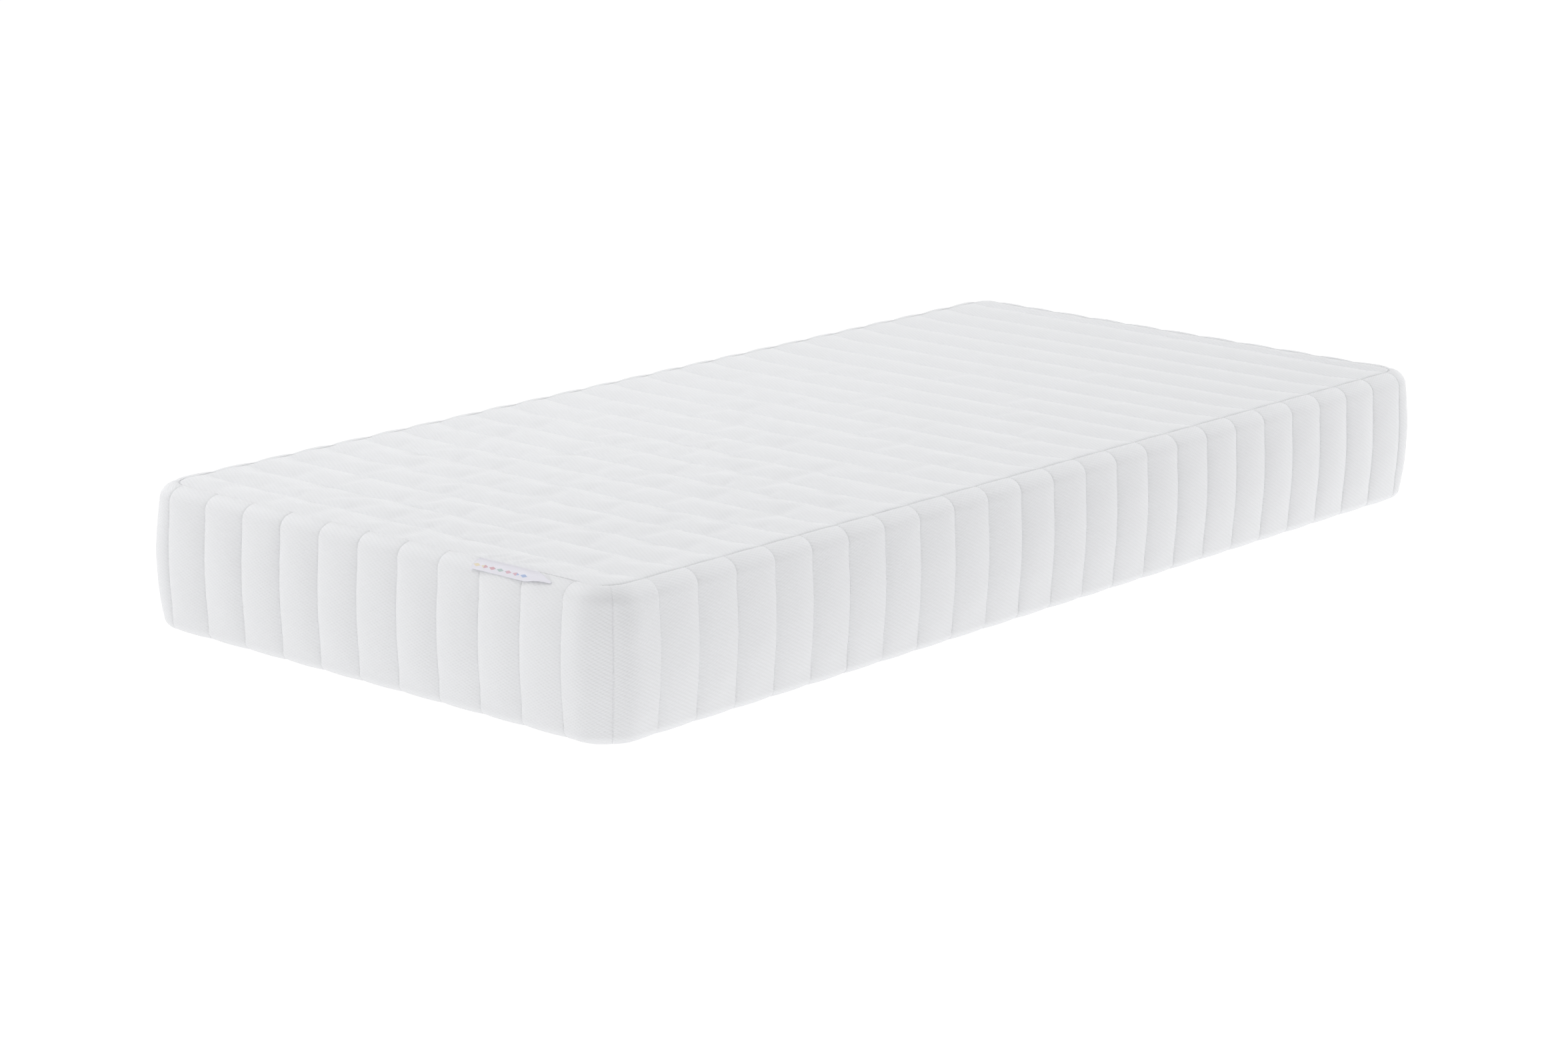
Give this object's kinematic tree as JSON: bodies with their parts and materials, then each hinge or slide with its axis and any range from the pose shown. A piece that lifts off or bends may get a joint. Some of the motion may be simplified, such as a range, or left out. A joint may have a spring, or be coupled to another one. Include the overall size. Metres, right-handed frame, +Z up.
{
  "type": "memory foam mattress",
  "caption": "Single memory foam mattress: layered foam in an inner sock, inside a quilted cover with a boxed border that zips shut across one end.",
  "frame": {"origin": "middle of the underside, on the surface the mattress lies on", "axes": "+X across the width, +Y along the length towards the zipped head end, +Z up out of the sleeping surface"},
  "size_m": [0.9, 1.9, 0.2078],
  "materials": {
    "quilted_knit": "matte",
    "fibre_wadding": "matte",
    "scrim": "matte",
    "sock_knit": "matte",
    "tape_cloth": "matte",
    "label_satin": "satin",
    "base_foam": "matte",
    "transition_foam": "matte",
    "memory_foam": "matte",
    "nylon": "satin",
    "nickel": "satin"
  },
  "bodies": {
    "mattress": {"top_panel_face": "quilted_knit", "top_panel_wadding": "fibre_wadding", "top_panel_backing": "scrim", "border_face": "quilted_knit", "border_wadding": "fibre_wadding", "border_backing": "scrim", "border_join_tape": "tape_cloth", "base_panel_face": "quilted_knit", "base_panel_wadding": "fibre_wadding", "base_panel_backing": "scrim", "top_seam_tape": "tape_cloth", "base_seam_tape": "tape_cloth", "inner_sock": "sock_knit", "inner_sock_closing_seam": "tape_cloth", "memory_foam_layer": "memory_foam", "transition_foam_layer": "transition_foam", "base_foam_core": "base_foam", "woven_label": "label_satin", "care_label": "label_satin", "zip_tape_upper": "tape_cloth", "zip_tape_lower": "tape_cloth", "zip_coil_upper": "nylon", "zip_coil_lower": "nylon", "zip_end_tab_open_end": "tape_cloth", "zip_end_tab_closed_end": "tape_cloth"},
    "zip_slider": {"zip_slider_body": "nickel"},
    "zip_pull": {"zip_pull_tab": "nickel"}
  },
  "joints": [
    {"name": "zip_travel", "type": "slide", "parent": "mattress", "child": "zip_slider", "axis": [-1, 0, 0], "range_m": [0, 0.692]},
    {"name": "zip_pull_swing", "type": "hinge", "parent": "zip_slider", "child": "zip_pull", "pos_m": [0.346, 0.9473, 0.04], "axis": [1, 0, 0], "range_deg": [0, 160]}
  ]
}
